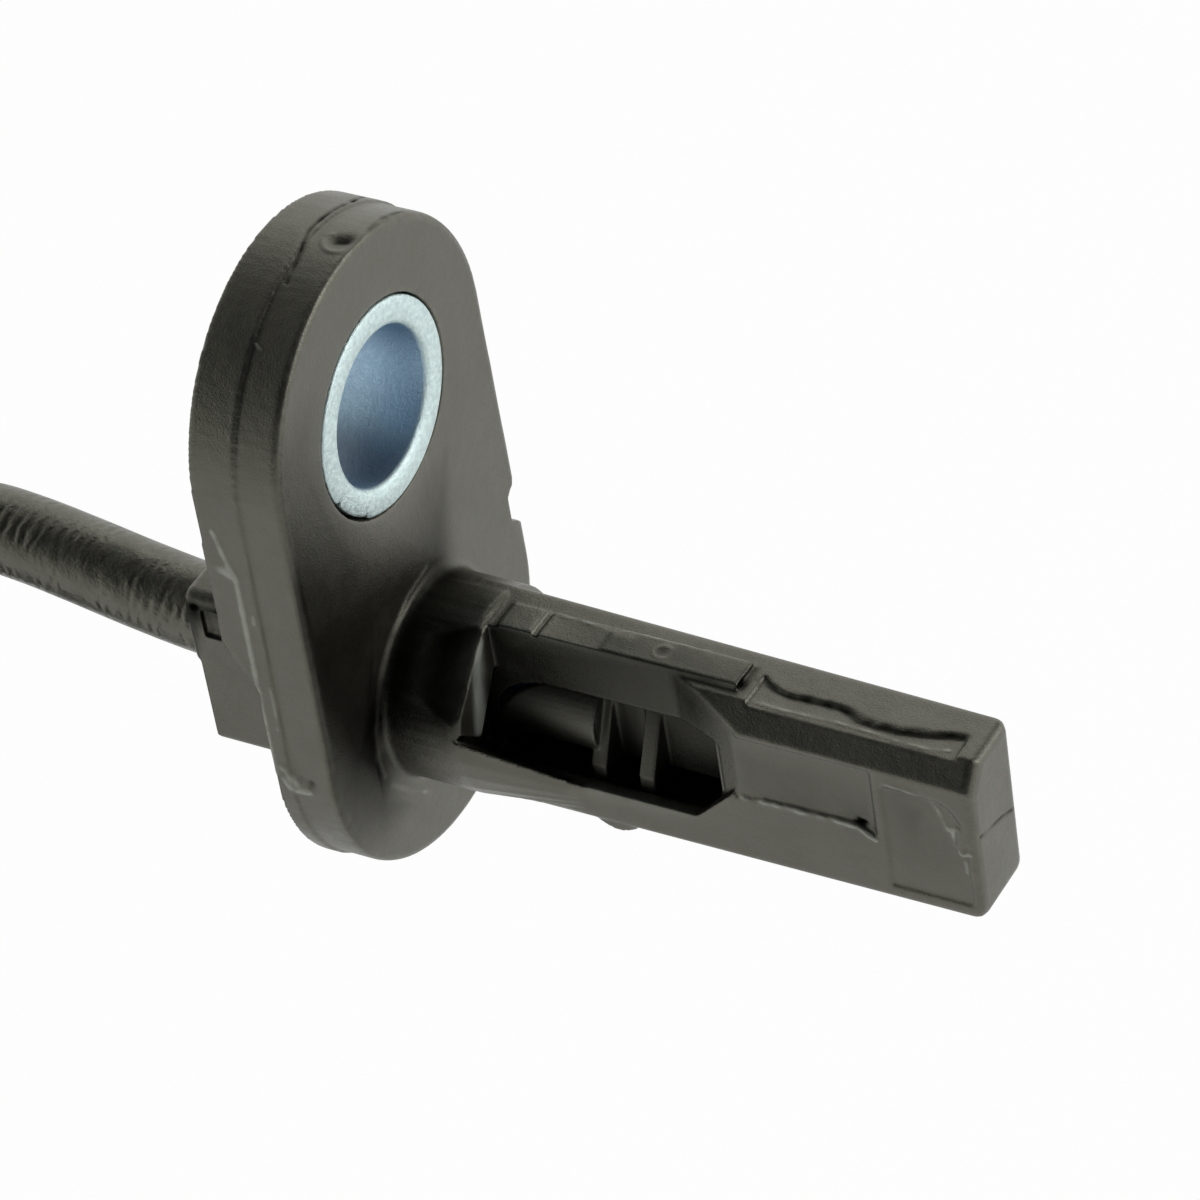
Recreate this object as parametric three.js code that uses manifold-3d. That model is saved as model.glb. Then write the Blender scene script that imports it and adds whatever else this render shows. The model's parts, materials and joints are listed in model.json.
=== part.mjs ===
// Wheel speed sensor: an overmoulded head with a bolt ear, its steel bush, the sensing element
// on its carrier, and the lead that ends in a two-way connector.
// Millimetres, +Z up. The head is worked out in the nose frame: origin where the nose axis meets
// the seating face of the flange, +X along the nose, +Z towards the bolt hole.
import * as THREE from 'three';
import { mergeVertices } from 'three/addons/utils/BufferGeometryUtils.js';
import Module from 'manifold-3d';

const wasm = await Module();
wasm.setup();

// Flange and bolt ear
const boltOffset = 17.4;
const earRadius = 10.05;
const lobeRadius = 10.4;
const plateThickness = 3.4;
const earThickness = 5.1;
const rimStepDepth = 2.5;
const rimStepHeight = 0.14;
const edgeRound = 0.35;
const earRampTop = 8.6;
const earRampSlope = 1.6;
const edgeNotchLow = 1.9;
const edgeNotchHigh = 5.4;
const edgeNotchDepth = 1.15;
const edgeNotchSlope = 1.0;

// Bolt bush
const bushBore = 8.4;
const bushWall = 1.65;
const bushSeamWidth = 0.25;
const bushSeamAngle = THREE.MathUtils.degToRad(228);
const bushEdge = 0.3;
const bushProud = 0.05;

// Collar that locates in the bearing carrier, and the nose
const collarRadius = 5.5;
const collarLength = 4.6;
const collarRecess = 1.2;
const collarFillet = 0.55;
const collarFlatAngle = 43;
const collarFlatRun = 3.2;
const collarFlatDrop = 0.78;
const collarMouth = [[-0.9, 2.55], [-1.4, 1.8], [-3.2, -0.6], [-5.1, 1.05], [-5.15, 0.8]];
const noseLength = 32.4;
const noseRootNear = -2.55;
const noseRootFar = 2.55;
const noseRootLow = -5.15;
const noseRootHigh = 5.15;
const noseTipNear = -2.45;
const noseTipFar = 2.15;
const noseTipLow = -5.08;
const noseTipHigh = 4.75;
const noseCorner = 0.45;
const noseChamferY = 1.1;
const noseChamferZ = 1.35;
const tipRound = 0.55;
const tipRoundSteps = 3;

// Open pocket in the near side of the nose
const pocketEnd = 19.4;
const pocketShelf = -0.9;
const pocketLow = -2.9;
const pocketLipStart = 16.4;
const pocketLipRise = 2.9;
const pocketRampStart = 15.2;
const pocketRunOut = 0.1;
const cavityStart = 4.4;
const cavityLow = -4.1;
const cavityHigh = 2.0;
const cavityCorner = 1.7;
const cavityBack = 1.7;
const cavityRunOut = 0.6;
const browLength = 4.2;
const browLead = 0.8;
const browDrop = 2.0;
const troughWall = 0.75;
const blendHigh = 0.8;
const blendSweep = THREE.MathUtils.degToRad(77);
const blendEnd = 10;
const blendSteps = 6;

// Broken rail on top of the nose
const railStart = 5.1;
const railGapStart = 7.1;
const railGapEnd = 7.45;
const railStepAt = 11.1;
const railEnd = 18.9;
const railFarEdge = 1.0;
const railLowHeight = 0.2;
const railHighHeight = 0.33;
const railRoot = 0.6;

// Shallow steps of the two-shot moulding. A wavy edge is given as [share of its run, Y or Z]
const topStepDepth = 0.22;
const topStepStart = 0.2;
const topStepTipGap = 1.2;
const topStepEdge = [[0, 0.75], [0.12, -0.1], [0.4, -0.05], [0.53, -0.65], [0.74, -0.6], [1, 0.2]];
const sideStepDepth = 0.16;
const sideStepTipGap = 5.6;
const sideStepHigh = 3.3;
const sideStepEdge = [[0, -0.95], [0.27, -0.6], [0.89, -0.45], [1, -1.2]];
const tipWindowLength = 5.1;
const tipWindowDepth = 0.14;
const tipWindowMargin = 0.5;
const tipWindowLow = -4.2;
const tipWindowHigh = 2.5;
const tipWindowArch = [2.1, 3.3];
const tipNibGap = 0.7;
const tipNibLength = 0.4;
const tipNibLow = -0.8;
const tipNibHigh = 0.9;

// Crush nub under the nose
const crushNubAt = 11.4;
const crushNubHeight = 0.5;
const crushNubRadius = 1.7;
const crushNubInset = 0.25;
const crushNubWidth = 1.6;

// Cable block behind the flange
const blockRear = -12.8;
const blockHalfWidth = 3.3;
const blockLow = -6.0;
const blockHigh = 4.2;
const blockCorner = 0.7;
const blockStepAt = -0.3;
const blockStepDepth = 0.3;
const blockGrooveLow = 1.5;
const blockGrooveHigh = 3.3;
const blockGrooveDepth = 0.35;

// Cable
const cableDiameter = 4.8;
const cableSeat = 5.6;
const coreDiameter = 1.6;
const corePitch = 2.1;
const coreChannelWidth = 2.2;
const coreStraight = 4;
const coreBendStart = 5;
const coreBendEnd = 2;
const strandDiameter = 0.9;
const strandLength = 2.6;

// Sensing element on its carrier
const carrierTipGap = 1.4;
const carrierNear = 0.2;
const carrierLow = -2.7;
const carrierHigh = 1.9;
const barrelEnd = 10.2;
const barrelRadius = 2.2;
const barrelAxisY = 0.8;
const barrelAxisZ = -0.35;
const ribThickness = 0.9;
const ribPlaces = [10.25, 13.05];
const ribCrest = 0.4;
const ribToe = -2.2;
const coreGrip = 1.6;
const stripThickness = 0.25;
const stripWidth = 0.8;
const chipLength = 4.2;
const chipWidth = 3.6;
const chipThickness = 0.8;
const chipEndWall = 0.7;
const capacitorLength = 2.0;
const capacitorGap = 2.4;

// Clearances
const fitGap = 0.3;
const seatGap = 0.1;

// Coil: turns side by side towards -Y, entered and left on its +X side heading down
const coilMeanRadius = 26;
const coilTurns = 4;
const coilTurnGap = 0.2;
const coilTop = new THREE.Vector3(-48, 1.0, -48);
const coilTieWidth = 4;
const coilTieThickness = 1.2;
const coilTieHeadWidth = 4.8;
const coilTieHeadHeight = 2.2;
const coilTieAngle = THREE.MathUtils.degToRad(200);
const connectorDrop = 40;

// Connector
const hoodLength = 20;
const hoodWidth = 17;
const hoodHeight = 12;
const hoodWall = 1.8;
const hoodRounding = 0.42;
const hoodEdge = 0.4;
const socketDepth = 12.5;
const neckLength = 12;
const neckRadius = 5.6;
const neckDraft = 0.3;
const capLength = 4;
const capLip = 0.6;
const capEdge = 0.8;
const sealRadius = 4.2;
const sealLength = 4.4;
const sealRibs = 3;
const sealRibHeight = 0.35;
const terminalPitch = 4.4;
const terminalWidth = 1.5;
const terminalThickness = 0.8;
const terminalReach = 7.8;
const terminalPoint = 0.8;
const terminalRoot = 2;
const lockWidth = 6.4;
const lockThickness = 1.4;
const lockAt = 4.2;
const lockClear = 0.6;
const lockProud = 0.8;
const catchLength = 3.2;
const catchHeight = 1.3;
const catchWidth = 5;
const catchSetback = 3;
const catchRoot = 0.5;

// How far a cutting body runs past what it cuts, how far joined bodies run into each other,
// and half the size of a body that spans the whole head
const overrun = 1;
const weld = 0.01;
const wholeHead = 20;

const bushRadius = bushBore / 2 + bushWall;
const coreOffset = corePitch / 2;
const tubeRadius = cableDiameter / 2;
const cableInnerEnd = blockRear + cableSeat - fitGap;
const troughInside = noseRootNear + troughWall;
const carrierStart = cavityStart + fitGap;
const carrierBack = cavityBack - fitGap;
const carrierEnd = noseLength - carrierTipGap;
const connectorLength = neckLength + hoodLength;
const chipEnd = carrierEnd - chipEndWall;
const chipStart = chipEnd - chipLength;
const capacitorStart = chipStart - capacitorGap - capacitorLength;
const coreEnd = carrierStart + coreGrip;
const coreRoomEnd = coreEnd + strandLength + fitGap;
const stripStart = coreEnd + seatGap;
const stripFar = carrierBack - seatGap;
const stripNear = stripFar - stripThickness;
const coreY = stripNear - seatGap - strandDiameter / 2;
const coreSides = [barrelAxisZ + coreOffset, barrelAxisZ - coreOffset];

const materials = {
  housing: { color: 0x4b463e, roughness: 0.55, metalness: 0 },
  steel: { color: 0xb4c3cb, roughness: 0.35, metalness: 1 },
  carrier: { color: 0x3a3733, roughness: 0.6, metalness: 0 },
  chip: { color: 0x1b1b1c, roughness: 0.5, metalness: 0 },
  tinned: { color: 0xc9c9c4, roughness: 0.35, metalness: 1 },
  copper: { color: 0xb86f4a, roughness: 0.4, metalness: 1 },
  jacket: { color: 0x25241f, roughness: 0.6, metalness: 0 },
  coreLight: { color: 0xd6d2c6, roughness: 0.6, metalness: 0 },
  coreDark: { color: 0x2c3a6b, roughness: 0.6, metalness: 0 },
  connector: { color: 0x303133, roughness: 0.5, metalness: 0 },
  lock: { color: 0xb9b6aa, roughness: 0.55, metalness: 0 },
  seal: { color: 0x8c4a2e, roughness: 0.7, metalness: 0 },
};

// Geometry to solid and back
function solid(geometry) {
  const bare = geometry.clone();
  bare.deleteAttribute('normal');
  bare.deleteAttribute('uv');
  const merged = mergeVertices(bare, 1e-4);
  const mesh = new wasm.Mesh({
    numProp: 3,
    vertProperties: new Float32Array(merged.attributes.position.array),
    triVerts: new Uint32Array(merged.index.array),
  });
  return new wasm.Manifold(mesh);
}

function join(...solids) {
  return solids.reduce((whole, next) => whole.add(next));
}

function cut(whole, ...tools) {
  return tools.reduce((rest, tool) => rest.subtract(tool), whole);
}

function geometryOf(manifold) {
  const mesh = manifold.getMesh();
  const geometry = new THREE.BufferGeometry();
  geometry.setAttribute('position', new THREE.BufferAttribute(mesh.vertProperties, 3));
  geometry.setIndex(new THREE.BufferAttribute(mesh.triVerts, 1));
  geometry.computeVertexNormals();
  return geometry;
}

// Section planes: a shape drawn in (Y, Z) runs along X, one drawn in (X, Z) runs along Y
const alongXBasis = new THREE.Matrix4().makeBasis(
  new THREE.Vector3(0, 1, 0), new THREE.Vector3(0, 0, 1), new THREE.Vector3(1, 0, 0));
const alongYBasis = new THREE.Matrix4().makeBasis(
  new THREE.Vector3(1, 0, 0), new THREE.Vector3(0, 0, 1), new THREE.Vector3(0, -1, 0));

function prism(shape, from, to, bevel = 0, curveSegments = 20) {
  const geometry = new THREE.ExtrudeGeometry(shape, {
    depth: to - from - 2 * bevel,
    bevelEnabled: bevel > 0,
    bevelThickness: bevel,
    bevelSize: bevel,
    bevelOffset: -bevel,
    bevelSegments: 2,
    curveSegments,
  });
  return geometry.translate(0, 0, from + bevel);
}

function alongX(shape, from, to, bevel, curveSegments) {
  return solid(prism(shape, from, to, bevel, curveSegments).applyMatrix4(alongXBasis));
}

function alongY(shape, from, to, bevel, curveSegments) {
  return solid(prism(shape, -to, -from, bevel, curveSegments).applyMatrix4(alongYBasis));
}

function alongZ(shape, from, to, bevel, curveSegments) {
  return solid(prism(shape, from, to, bevel, curveSegments));
}

function polygon(points) {
  return new THREE.Shape(points.map(([a, b]) => new THREE.Vector2(a, b)));
}

function roundedRect(a0, a1, b0, b1, r) {
  const shape = new THREE.Shape();
  shape.moveTo(a0 + r, b0);
  shape.lineTo(a1 - r, b0);
  shape.absarc(a1 - r, b0 + r, r, -Math.PI / 2, 0, false);
  shape.lineTo(a1, b1 - r);
  shape.absarc(a1 - r, b1 - r, r, 0, Math.PI / 2, false);
  shape.lineTo(a0 + r, b1);
  shape.absarc(a0 + r, b1 - r, r, Math.PI / 2, Math.PI, false);
  shape.lineTo(a0, b0 + r);
  shape.absarc(a0 + r, b0 + r, r, Math.PI, 1.5 * Math.PI, false);
  return shape;
}

function circle(a, b, r) {
  return new THREE.Shape().absarc(a, b, r, 0, 2 * Math.PI, false);
}

function box(x0, x1, y0, y1, z0, z1) {
  const geometry = new THREE.BoxGeometry(x1 - x0, y1 - y0, z1 - z0);
  return geometry.translate((x0 + x1) / 2, (y0 + y1) / 2, (z0 + z1) / 2);
}

function block(...sides) {
  return solid(box(...sides));
}

// A body of revolution about the X direction, from points of (x, radius)
function turned(profile, segments = 48) {
  const points = profile.map(([x, r]) => new THREE.Vector2(r, x));
  return new THREE.LatheGeometry(points, segments).rotateZ(-Math.PI / 2);
}

function rod(x0, x1, r, y = 0, z = 0, segments = 24) {
  return turned([[x0, 0], [x0, r], [x1, r], [x1, 0]], segments).translate(0, y, z);
}

// Skin through closed loops of (y, z) at stations along X, with flat ends
function loft(stations) {
  const count = stations[0].loop.length;
  const positions = stations.flatMap(({ x, loop }) => loop.flatMap(([y, z]) => [x, y, z]));
  const index = [];
  for (let s = 0; s < stations.length - 1; s += 1) {
    for (let i = 0; i < count; i += 1) {
      const a = s * count + i;
      const b = s * count + (i + 1) % count;
      index.push(a, b, b + count, a, b + count, a + count);
    }
  }
  const cap = THREE.ShapeUtils.triangulateShape(
    stations[0].loop.map(([y, z]) => new THREE.Vector2(y, z)), []);
  const last = (stations.length - 1) * count;
  for (const [a, b, c] of cap) {
    index.push(a, c, b, last + a, last + b, last + c);
  }
  const geometry = new THREE.BufferGeometry();
  geometry.setAttribute('position', new THREE.Float32BufferAttribute(positions, 3));
  geometry.setIndex(index);
  return solid(geometry);
}

// Flange: two lobes joined by their outer tangents
function flangeOutline(inset) {
  const top = earRadius - inset;
  const low = lobeRadius - inset;
  const lean = Math.asin((top - low) / boltOffset);
  const shape = new THREE.Shape();
  shape.absarc(0, boltOffset, top, -lean, Math.PI + lean, false);
  shape.absarc(0, 0, low, Math.PI + lean, 2 * Math.PI - lean, false);
  return shape;
}

function flange() {
  const segments = 24;
  const rimBack = -rimStepDepth - 2 * edgeRound;
  const front = alongX(flangeOutline(rimStepHeight), rimBack, 0, edgeRound, segments);
  const plate = alongX(flangeOutline(0), -plateThickness, -rimStepDepth, 0, segments);
  const ear = alongX(flangeOutline(0), -earThickness, -rimStepDepth, 0, segments);
  const rampRun = (earThickness - plateThickness) * earRampSlope;
  const underEar = alongY(polygon([
    [-earThickness - overrun, -lobeRadius - overrun],
    [-plateThickness, -lobeRadius - overrun],
    [-plateThickness, earRampTop - rampRun],
    [-earThickness, earRampTop],
    [-earThickness - overrun, earRampTop],
  ]), -lobeRadius - overrun, lobeRadius + overrun);
  return join(front, plate, ear.subtract(underEar));
}

// Clip relief in the far edge of the flange
function edgeNotch() {
  const reach = lobeRadius + overrun;
  const floor = lobeRadius - edgeNotchDepth;
  return alongX(polygon([
    [reach, edgeNotchLow],
    [lobeRadius, edgeNotchLow],
    [floor, edgeNotchLow + edgeNotchSlope],
    [floor, edgeNotchHigh - edgeNotchSlope],
    [lobeRadius, edgeNotchHigh],
    [reach, edgeNotchHigh],
  ]), -plateThickness - overrun, overrun);
}

function collar() {
  const profile = [[-plateThickness / 2, 0], [-plateThickness / 2, collarRadius + collarFillet]];
  const steps = 4;
  for (let i = 0; i <= steps; i += 1) {
    const t = (i / steps) * Math.PI / 2;
    const x = collarFillet * (1 - Math.cos(t));
    profile.push([x, collarRadius + collarFillet * (1 - Math.sin(t))]);
  }
  profile.push([collarLength - edgeRound, collarRadius]);
  profile.push([collarLength, collarRadius - edgeRound]);
  profile.push([collarLength, 0]);
  const flat = alongY(polygon([
    [collarLength - collarFlatRun, collarRadius],
    [collarLength + overrun, collarRadius - collarFlatDrop * (1 + overrun / collarFlatRun)],
    [collarLength + overrun, collarRadius + overrun],
    [collarLength - collarFlatRun, collarRadius + overrun],
  ]), -collarRadius, collarRadius).rotate([collarFlatAngle, 0, 0]);
  return cut(solid(turned(profile, 48)), flat);
}

// Near lower part of the collar, drawn out into the nose
function collarBlend() {
  const radius = collarRadius - weld;
  const inner = troughInside - weld;
  const face = noseSide('near', blendEnd) + weld;
  const from = Math.PI - Math.asin(blendHigh / collarRadius);
  const onCollar = [];
  const onNose = [];
  for (let i = 0; i <= blendSteps; i += 1) {
    const t = i / blendSteps;
    const angle = from + blendSweep * t;
    onCollar.push([radius * Math.cos(angle), radius * Math.sin(angle)]);
    onNose.push([face, THREE.MathUtils.lerp(pocketLow - weld, noseRootLow + noseCorner, t)]);
  }
  onCollar.push([inner, onCollar[blendSteps][1]], [inner, pocketLow - weld]);
  onNose.push([inner, onNose[blendSteps][1]], [inner, pocketLow - weld]);
  return loft([
    { x: collarLength - collarRecess - fitGap, loop: onCollar },
    { x: collarLength, loop: onCollar },
    { x: blendEnd, loop: onNose },
  ]);
}

// Nose section: round corners and a broad chamfer on the near upper edge
function noseLoop(near, far, low, high, inset) {
  const r = noseCorner;
  const y0 = near + inset;
  const y1 = far - inset;
  const z0 = low + inset;
  const z1 = high - inset;
  const shape = new THREE.Shape();
  shape.moveTo(y0 + r, z0);
  shape.lineTo(y1 - r, z0);
  shape.absarc(y1 - r, z0 + r, r, -Math.PI / 2, 0, false);
  shape.lineTo(y1, z1 - r);
  shape.absarc(y1 - r, z1 - r, r, 0, Math.PI / 2, false);
  shape.lineTo(y0 + noseChamferY, z1);
  shape.lineTo(y0, z1 - noseChamferZ);
  shape.lineTo(y0, z0 + r);
  shape.absarc(y0 + r, z0 + r, r, Math.PI, 1.5 * Math.PI, false);
  const points = shape.getPoints(4).slice(0, -1);
  return points.map((p) => [p.x, p.y]);
}

function noseSide(name, x) {
  const sides = {
    near: [noseRootNear, noseTipNear],
    far: [noseRootFar, noseTipFar],
    low: [noseRootLow, noseTipLow],
    high: [noseRootHigh, noseTipHigh],
  };
  const t = (x - collarLength) / (noseLength - collarLength);
  return THREE.MathUtils.lerp(...sides[name], t);
}

function nose() {
  const station = (x, inset) => ({
    x,
    loop: noseLoop(...['near', 'far', 'low', 'high'].map((side) => noseSide(side, x)), inset),
  });
  const stations = [station(collarLength / 2, 0), station(noseLength - tipRound, 0)];
  for (let i = 1; i <= tipRoundSteps; i += 1) {
    const t = (i / tipRoundSteps) * Math.PI / 2;
    const x = noseLength - tipRound * (1 - Math.sin(t));
    stations.push(station(x, tipRound * (1 - Math.cos(t))));
  }
  return loft(stations);
}

// Side view of the cavity, or of what stands in it with a clearance: round at its tip end,
// with a long brow over its start
function cavityOutline(inset) {
  const start = cavityStart + inset;
  const end = pocketEnd - inset;
  const low = cavityLow + inset;
  const high = cavityHigh - inset;
  const r = cavityCorner;
  const shape = new THREE.Shape();
  shape.moveTo(start, low);
  shape.lineTo(end - r, low);
  shape.absarc(end - r, low + r, r, -Math.PI / 2, 0, false);
  shape.lineTo(end, high - r);
  shape.absarc(end - r, high - r, r, 0, Math.PI / 2, false);
  shape.lineTo(start + browLength, high);
  shape.quadraticCurveTo(start + browLead, high, start, high - browDrop);
  return shape;
}

// Pocket: an upper shelf open to the top, a deep cavity behind a thin trough wall,
// and a ramp that runs out to the near face
function pocketTools() {
  const outside = noseRootNear - overrun;
  const above = noseRootHigh + overrun;
  const sideView = alongY(polygon([
    [collarLength - collarRecess, pocketLow],
    [pocketLipStart, pocketLow],
    [pocketEnd, pocketLow + pocketLipRise],
    [pocketEnd, above],
    [collarLength - collarRecess, above],
  ]), -wholeHead, pocketShelf);
  const plan = alongZ(polygon([
    [0, -collarRadius],
    [0, pocketShelf],
    [pocketRampStart, pocketShelf],
    [pocketEnd, noseRootNear + pocketRunOut],
    [pocketEnd, -collarRadius],
  ]), pocketLow - overrun, above);
  const withinRim = alongX(polygon([...collarMouth, [troughInside, pocketLow], [pocketShelf, pocketLow]]),
    0, collarLength);
  const beyondCollar = block(collarLength - weld, pocketEnd, outside, pocketShelf, pocketLow, above);
  const reach = join(withinRim, beyondCollar);
  const upper = sideView.intersect(plan).intersect(reach);

  const cavityPlan = alongZ(polygon([
    [cavityStart, troughInside],
    [cavityStart, cavityBack],
    [pocketRampStart, cavityBack],
    [pocketEnd - cavityRunOut, troughInside],
  ]), cavityLow, cavityHigh);
  const cavitySide = alongY(cavityOutline(0), troughInside - overrun, cavityBack + overrun, 0, 8);
  return [upper, cavityPlan.intersect(cavitySide)];
}

// Room for the carrier up to the tip, and for the cores and the cable behind it
function innerTools() {
  const carrierRoom = block(cavityStart + cavityCorner, carrierEnd + fitGap,
    carrierNear - fitGap, cavityBack, carrierLow - fitGap, carrierHigh + fitGap);
  const channelHalf = corePitch / 2 + coreDiameter / 2 + fitGap - barrelAxisZ;
  const channelShape = roundedRect(coreY - coreChannelWidth / 2, coreY + coreChannelWidth / 2,
    -channelHalf, channelHalf, coreChannelWidth / 2 - weld);
  const channel = alongX(channelShape, cableInnerEnd, coreEnd + fitGap, 0, 6);
  const bore = solid(rod(blockRear - overrun, blockRear + cableSeat, tubeRadius + fitGap, 0, 0, 32));
  return [carrierRoom, channel, bore];
}

function rail() {
  const top = (x) => noseSide('high', x);
  const bar = (x0, x1, height) => block(x0, x1, pocketShelf, railFarEdge,
    top(x0) - railRoot, top(x0) + height);
  return [
    bar(railStart, railGapStart, railLowHeight),
    bar(railGapEnd, railStepAt, railLowHeight),
    bar(railStepAt, railEnd, railHighHeight),
  ];
}

// Points of a wavy edge along X, smoothed or straight between its points
function edgePoints(from, to, shares, smooth) {
  const points = shares.map(([t, side]) => new THREE.Vector2(THREE.MathUtils.lerp(from, to, t), side));
  const curve = smooth ? new THREE.SplineCurve(points).getPoints(18) : points;
  return curve.map((p) => [p.x, p.y]);
}

// Where the second shot ends on top of the nose
function topStep() {
  const from = pocketEnd + topStepStart;
  const to = noseLength - topStepTipGap;
  const edge = edgePoints(from, to, topStepEdge, true);
  const plan = alongZ(polygon([...edge, [to, noseRootNear - overrun], [from, noseRootNear - overrun]]),
    0, noseRootHigh + overrun);
  const skin = alongY(polygon([
    [pocketEnd, noseSide('high', pocketEnd) - topStepDepth],
    [noseLength, noseSide('high', noseLength) - topStepDepth],
    [noseLength, noseRootHigh + overrun],
    [pocketEnd, noseRootHigh + overrun],
  ]), -wholeHead, wholeHead);
  return plan.intersect(skin);
}

// What lies within some depth of the near face, between two places along X
function nearSkin(from, to, depth) {
  return alongZ(polygon([
    [from, -wholeHead],
    [from, noseSide('near', from) + depth],
    [to, noseSide('near', to) + depth],
    [to, -wholeHead],
  ]), -wholeHead, wholeHead);
}

// Where the second shot ends on the near side
function sideStep() {
  const from = pocketEnd - cavityRunOut;
  const to = noseLength - sideStepTipGap;
  const edge = edgePoints(from, to, sideStepEdge, false);
  const view = alongY(polygon([...edge, [to, sideStepHigh], [from, sideStepHigh]]), -wholeHead, 0);
  return view.intersect(nearSkin(from, to, sideStepDepth));
}

// Shallow window over the sensing element, with a nib left standing by its end
function tipWindow() {
  const from = noseLength - tipWindowLength;
  const end = noseLength - tipWindowMargin;
  const [archRun, archDrop] = tipWindowArch;
  const shape = new THREE.Shape();
  shape.moveTo(from, tipWindowLow);
  shape.lineTo(end, tipWindowLow);
  shape.lineTo(end, tipWindowHigh - archDrop);
  shape.quadraticCurveTo(end, tipWindowHigh, end - archRun, tipWindowHigh);
  shape.lineTo(from, tipWindowHigh);
  const window = alongY(shape, -wholeHead, 0, 0, 6).intersect(nearSkin(from, noseLength, tipWindowDepth));
  const nibEnd = noseLength - tipNibGap;
  const nib = block(nibEnd - tipNibLength, nibEnd, -wholeHead, 0, tipNibLow, tipNibHigh);
  return cut(window, nib);
}

function crushNub() {
  const low = noseSide('low', crushNubAt);
  const nub = circle(crushNubAt, low + crushNubRadius - crushNubHeight, crushNubRadius);
  const side = noseRootNear + crushNubInset;
  return alongY(nub, side, side + crushNubWidth, 0, 24);
}

function cableBlock() {
  const outline = roundedRect(-blockHalfWidth, blockHalfWidth, blockLow, blockHigh, blockCorner);
  const body = alongX(outline, blockRear, -plateThickness + overrun, edgeRound, 5);
  const step = block(blockRear - overrun, blockRear + blockStepDepth, -blockHalfWidth - overrun,
    blockHalfWidth + overrun, blockLow - overrun, blockStepAt);
  const groove = (y0, y1) => block(blockRear + overrun, -earThickness - fitGap, y0, y1,
    blockGrooveLow, blockGrooveHigh);
  const near = groove(-blockHalfWidth - overrun, -blockHalfWidth + blockGrooveDepth);
  const far = groove(blockHalfWidth - blockGrooveDepth, blockHalfWidth + overrun);
  return cut(body, step, near, far);
}

function sensorHousing() {
  const whole = join(flange(), collar(), nose(), cableBlock(), crushNub());
  const bushRoom = solid(rod(-earThickness - overrun, overrun, bushRadius, 0, boltOffset, 48));
  const surface = [topStep(), sideStep(), tipWindow(), edgeNotch()];
  const open = cut(whole, ...pocketTools(), ...surface, bushRoom);
  return cut(join(open, collarBlend(), ...rail()), ...innerTools());
}

// Rolled steel bush: a sleeve with rounded bore edges and a butt seam
function boltBush() {
  const outer = bushRadius - seatGap / 2;
  const bore = bushBore / 2;
  const front = bushProud;
  const back = -earThickness - bushProud;
  const ring = turned([
    [back, bore + bushEdge], [back, outer - bushEdge / 2], [back + bushEdge / 2, outer],
    [front - bushEdge / 2, outer], [front, outer - bushEdge / 2], [front, bore + bushEdge],
    [front - bushEdge, bore], [back + bushEdge, bore], [back, bore + bushEdge],
  ], 48);
  const seam = box(back - overrun, front + overrun, 0, bushRadius + overrun,
    -bushSeamWidth / 2, bushSeamWidth / 2);
  return cut(solid(ring), solid(seam.rotateX(bushSeamAngle))).translate([0, 0, boltOffset]);
}

// Carrier: a round barrel over the wire ends, a flat bar to the tip, two slanted ribs,
// and grooves open to the far side for the strips, the capacitor and the chip
function sensorCarrier() {
  const bar = block(barrelEnd - overrun, carrierEnd, carrierNear, carrierBack, carrierLow, carrierHigh);
  const barrelShape = circle(barrelAxisY, barrelAxisZ, barrelRadius);
  const round = alongX(barrelShape, carrierStart, barrelEnd, 0, 20);
  const within = alongY(cavityOutline(fitGap), -wholeHead, carrierBack, 0, 8);
  const ribs = ribPlaces.map((x) => alongX(polygon([
    [carrierBack, cavityHigh - fitGap],
    [ribCrest, cavityHigh - fitGap],
    [troughInside + fitGap, ribToe],
    [troughInside + fitGap, cavityLow + fitGap],
    [carrierBack, cavityLow + fitGap],
  ]), x - ribThickness / 2, x + ribThickness / 2));
  const whole = join(bar, round.intersect(within), ...ribs);
  const openRoom = (x0, x1, r) => coreSides.flatMap((z) => [
    solid(rod(x0, x1, r, coreY, z, 20)),
    block(x0, x1, coreY, carrierBack + overrun, z - r, z + r),
  ]);
  const coreRoom = openRoom(carrierStart - overrun, coreEnd + seatGap, coreDiameter / 2 + seatGap);
  const strandRoom = openRoom(coreEnd, coreRoomEnd, strandDiameter / 2 + seatGap);
  const stripRooms = coreSides.map((z) => block(stripStart - seatGap, chipStart + seatGap,
    stripNear - seatGap, carrierBack + overrun,
    z - stripWidth / 2 - seatGap, z + stripWidth / 2 + seatGap));
  const partRoom = (x0, x1) => block(x0 - seatGap, x1 + seatGap,
    carrierBack - chipThickness - 2 * seatGap, carrierBack + overrun,
    barrelAxisZ - chipWidth / 2 - seatGap, barrelAxisZ + chipWidth / 2 + seatGap);
  const chipRoom = partRoom(chipStart, chipEnd);
  const capacitorRoom = partRoom(capacitorStart, capacitorStart + capacitorLength);
  return cut(whole, ...coreRoom, ...strandRoom, ...stripRooms, chipRoom, capacitorRoom);
}

function chipBody(x0, x1) {
  const y1 = carrierBack - seatGap;
  const side = roundedRect(x0, x1, barrelAxisZ - chipWidth / 2, barrelAxisZ + chipWidth / 2, edgeRound);
  return alongY(side, y1 - chipThickness, y1, 0.1, 2);
}

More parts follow.
